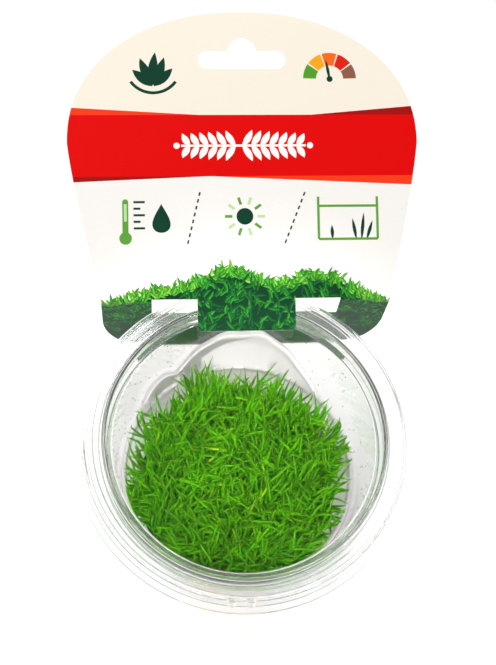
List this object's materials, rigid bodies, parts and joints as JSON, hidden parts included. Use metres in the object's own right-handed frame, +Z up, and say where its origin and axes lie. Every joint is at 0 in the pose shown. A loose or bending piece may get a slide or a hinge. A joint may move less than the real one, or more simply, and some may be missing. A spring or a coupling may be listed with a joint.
{
  "type": "tissue culture aquarium plant in a lidded cup",
  "caption": "Round clear plastic tissue culture cup of grass-like aquarium plant on milky gel, with a clear stepped press-fit lid and a printed hang card folded over its rim.",
  "frame": {"origin": "centre of the cup's base, on the surface it stands on", "axes": "+Z up the cup's axis, +Y from the axis to the far end of the hang card, +X to the right of someone looking along +Y"},
  "size_m": [0.1124, 0.1874, 0.0778],
  "materials": {
    "cup_plastic": "clear, moulded gloss",
    "lid_plastic": "clear, moulded gloss",
    "gel": "milky, wet",
    "leaf": "fresh leaf, slightly wet",
    "card": "coated card, printed",
    "label_paper": "matt paper"
  },
  "bodies": {
    "root": {"cup": "cup_plastic", "lid": "lid_plastic", "gel": "gel", "plantlet_01": "leaf", "plantlet_02": "leaf", "plantlet_03": "leaf", "plantlet_04": "leaf", "plantlet_05": "leaf", "plantlet_06": "leaf", "plantlet_07": "leaf", "plantlet_08": "leaf", "plantlet_09": "leaf", "plantlet_10": "leaf", "plantlet_11": "leaf", "plantlet_12": "leaf", "plantlet_13": "leaf", "plantlet_14": "leaf", "plantlet_15": "leaf", "plantlet_16": "leaf", "plantlet_17": "leaf", "plantlet_18": "leaf", "plantlet_19": "leaf", "hang_card": "card", "label": "label_paper"}
  },
  "joints": []
}
